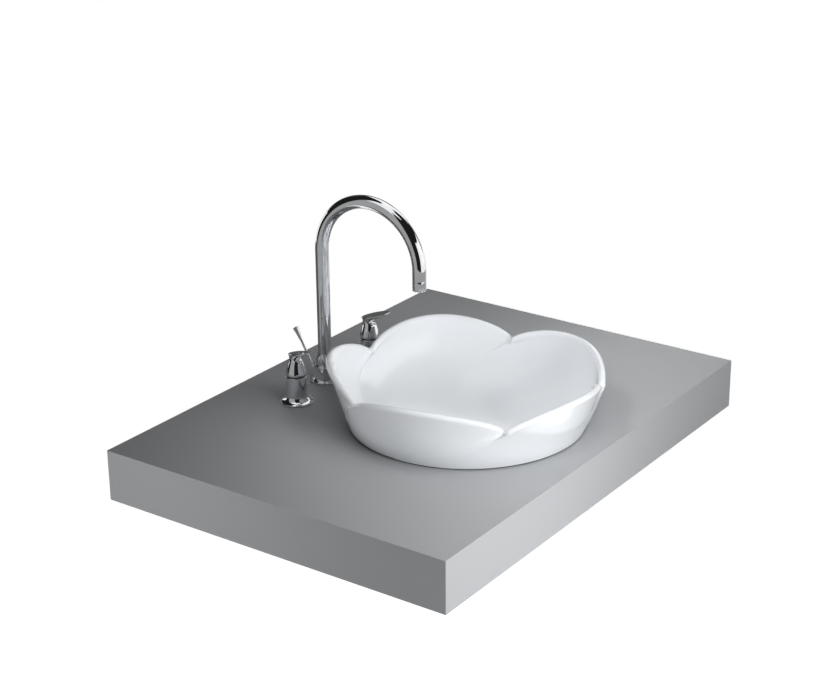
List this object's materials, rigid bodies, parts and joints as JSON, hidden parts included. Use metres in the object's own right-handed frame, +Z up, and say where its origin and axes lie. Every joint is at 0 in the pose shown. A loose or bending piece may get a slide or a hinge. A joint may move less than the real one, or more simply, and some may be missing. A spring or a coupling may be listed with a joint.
{
  "type": "countertop basin",
  "caption": "Petal-shaped white basin let into a grey counter slab, with a swivel spout, turning levers and a pop-up waste worked by a lift rod.",
  "frame": {"origin": "centre of the counter's underside, level with the lower edges of its aprons", "axes": "+X along the wall to the right as seen from the front, +Y towards the wall, +Z up"},
  "size_m": [0.82, 0.6, 0.501],
  "materials": {
    "counter_stone": "satin",
    "white_china": "gloss",
    "chrome": "polished",
    "raw_brass": "satin",
    "steel": "satin",
    "black_rubber": "matte",
    "white_plastic": "matte",
    "dark_plastic": "matte"
  },
  "bodies": {
    "base": {"counter_top": "counter_stone", "front_apron": "counter_stone", "rear_apron": "counter_stone", "left_apron": "counter_stone", "right_apron": "counter_stone", "basin_bowl": "white_china", "waste_flange": "chrome", "spout_base": "chrome", "spout_collar": "chrome", "hot_escutcheon": "chrome", "cold_escutcheon": "chrome", "waste_body": "raw_brass", "waste_nut": "raw_brass", "pivot_nut": "raw_brass", "spout_clamp_nut": "raw_brass", "spout_tail_pipe": "raw_brass", "mixing_tee": "raw_brass", "hot_cartridge": "raw_brass", "cold_cartridge": "raw_brass", "hot_valve_body": "raw_brass", "cold_valve_body": "raw_brass", "hot_link_pipe": "raw_brass", "cold_link_pipe": "raw_brass", "valve_backnuts": "raw_brass", "link_nuts": "raw_brass", "spout_stud": "steel", "spout_clamp_plate": "steel", "bowl_seal": "black_rubber", "waste_flange_seal": "black_rubber", "waste_gasket": "black_rubber", "spout_gasket": "black_rubber", "spout_clamp_rubber": "black_rubber", "valve_gaskets": "black_rubber", "waste_washer": "white_plastic", "pivot_seat": "white_plastic", "spout_glide_ring": "white_plastic", "valve_washers": "white_plastic", "hot_glide_ring": "dark_plastic", "cold_glide_ring": "dark_plastic"},
    "spout": {"spout_tube": "chrome", "spout_insert": "raw_brass", "spout_o_rings": "black_rubber", "aerator_housing": "chrome", "aerator_insert": "white_plastic", "aerator_washer": "black_rubber"},
    "hot_lever": {"hot_handle": "chrome", "hot_grub_screw": "steel", "hot_spindle": "raw_brass"},
    "cold_lever": {"cold_handle": "chrome", "cold_grub_screw": "steel", "cold_spindle": "raw_brass"},
    "lift": {"lift_rod": "chrome", "lift_knob": "chrome", "lift_strap": "steel", "strap_screw": "raw_brass"},
    "rocker": {"pivot_rod": "steel"},
    "plug": {"plug_cap": "chrome", "plug_seal": "black_rubber", "plug_stem": "raw_brass"}
  },
  "joints": [
    {"name": "spout_swivel", "type": "hinge", "parent": "base", "child": "spout", "pos_m": [-0.0195, 0.198, 0.108], "axis": [0, 0, 1], "range_deg": [-70, 70]},
    {"name": "hot_turn", "type": "hinge", "parent": "base", "child": "hot_lever", "pos_m": [-0.1145, 0.18, 0.128], "axis": [0, 0, 1], "range_deg": [-90, 0]},
    {"name": "cold_turn", "type": "hinge", "parent": "base", "child": "cold_lever", "pos_m": [0.0755, 0.18, 0.128], "axis": [0, 0, 1], "range_deg": [0, 90]},
    {"name": "lift_slide", "type": "slide", "parent": "base", "child": "lift", "axis": [0, 0.4848, 0.8746], "range_m": [-0.05, 0]},
    {"name": "pivot_rock", "type": "hinge", "parent": "base", "child": "rocker", "pos_m": [-0.0195, -0.0425, -0.045], "axis": [1, 0, 0], "range_deg": [-13.4, 0]},
    {"name": "plug_slide", "type": "slide", "parent": "base", "child": "plug", "axis": [0, 0, 1], "range_m": [0, 0.0071]}
  ],
  "couplings": [
    {"joint": "pivot_rock", "follows": "lift_slide", "rad_per_m": 4.65},
    {"joint": "plug_slide", "follows": "lift_slide", "ratio": -0.14}
  ]
}
